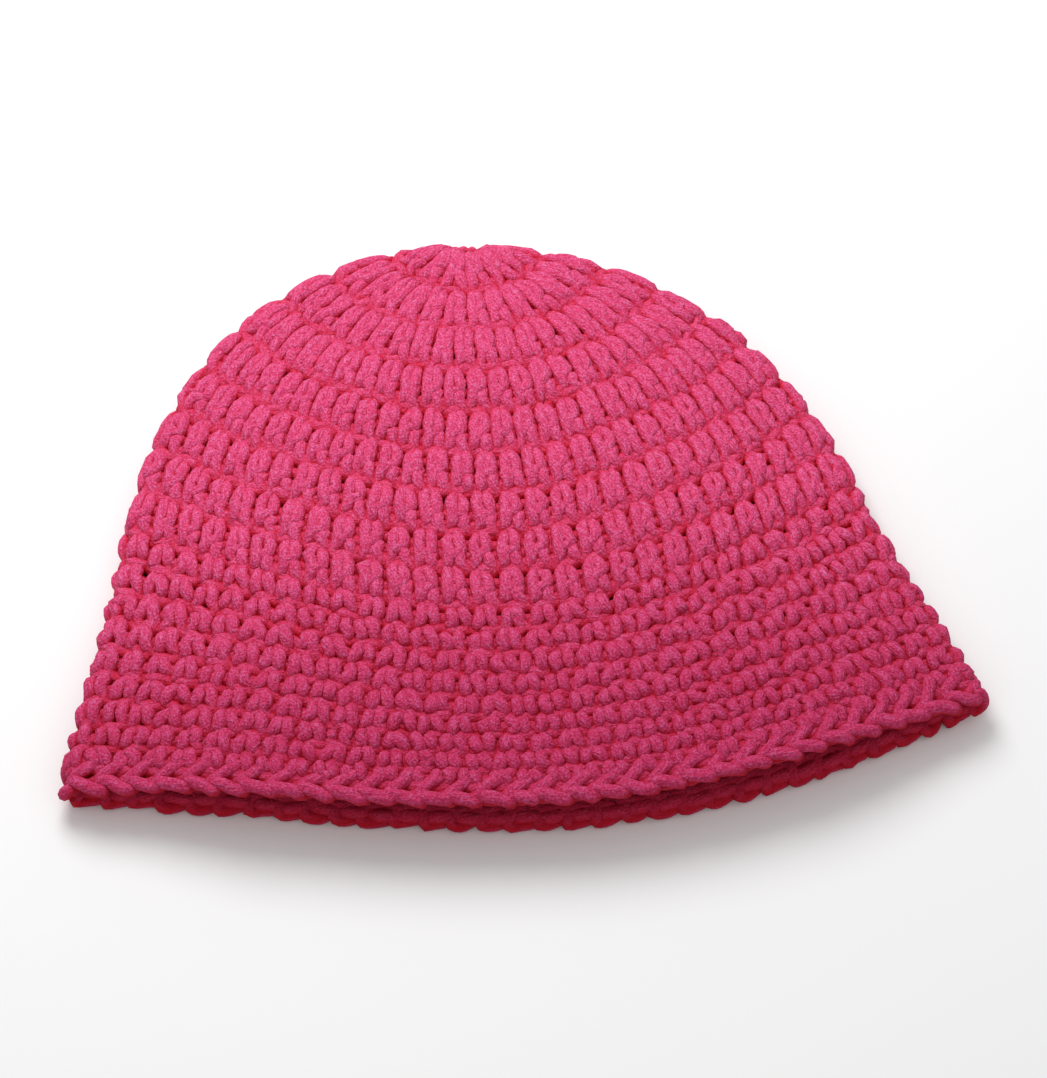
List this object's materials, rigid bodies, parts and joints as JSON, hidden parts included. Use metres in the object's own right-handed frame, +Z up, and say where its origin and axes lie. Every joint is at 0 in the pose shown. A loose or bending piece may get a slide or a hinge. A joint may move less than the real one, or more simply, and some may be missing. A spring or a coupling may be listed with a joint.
{
  "type": "crocheted beanie hat",
  "caption": "Hand-crocheted beanie of thick pink yarn, folded flat along its sides, with a domed crown of tall stitches and a band of short stitches.",
  "frame": {"origin": "bottom centre of the flat-lying hat's box, on the surface that it lies on", "axes": "+X across the hat, +Y towards the crown with the mouth facing -Y, +Z up through both layers"},
  "size_m": [0.2722, 0.2034, 0.0235],
  "materials": {
    "crown_yarn": "fuzzy hot-pink acrylic yarn in tall stitches",
    "band_yarn": "fuzzy hot-pink acrylic yarn in short stitches",
    "edge_yarn": "fuzzy hot-pink acrylic yarn in a braided chain"
  },
  "bodies": {
    "root": {"crown_ring": "crown_yarn", "tall_round_1": "crown_yarn", "tall_round_2": "crown_yarn", "tall_round_3": "crown_yarn", "tall_round_4": "crown_yarn", "tall_round_5": "crown_yarn", "tall_round_6": "crown_yarn", "tall_round_7": "crown_yarn", "tall_round_8": "crown_yarn", "tall_round_9": "crown_yarn", "band_round_1": "band_yarn", "band_round_2": "band_yarn", "band_round_3": "band_yarn", "band_round_4": "band_yarn", "band_round_5": "band_yarn", "band_round_6": "band_yarn", "band_round_7": "band_yarn", "band_round_8": "band_yarn", "band_round_9": "band_yarn", "edge_chain": "edge_yarn"}
  },
  "joints": []
}
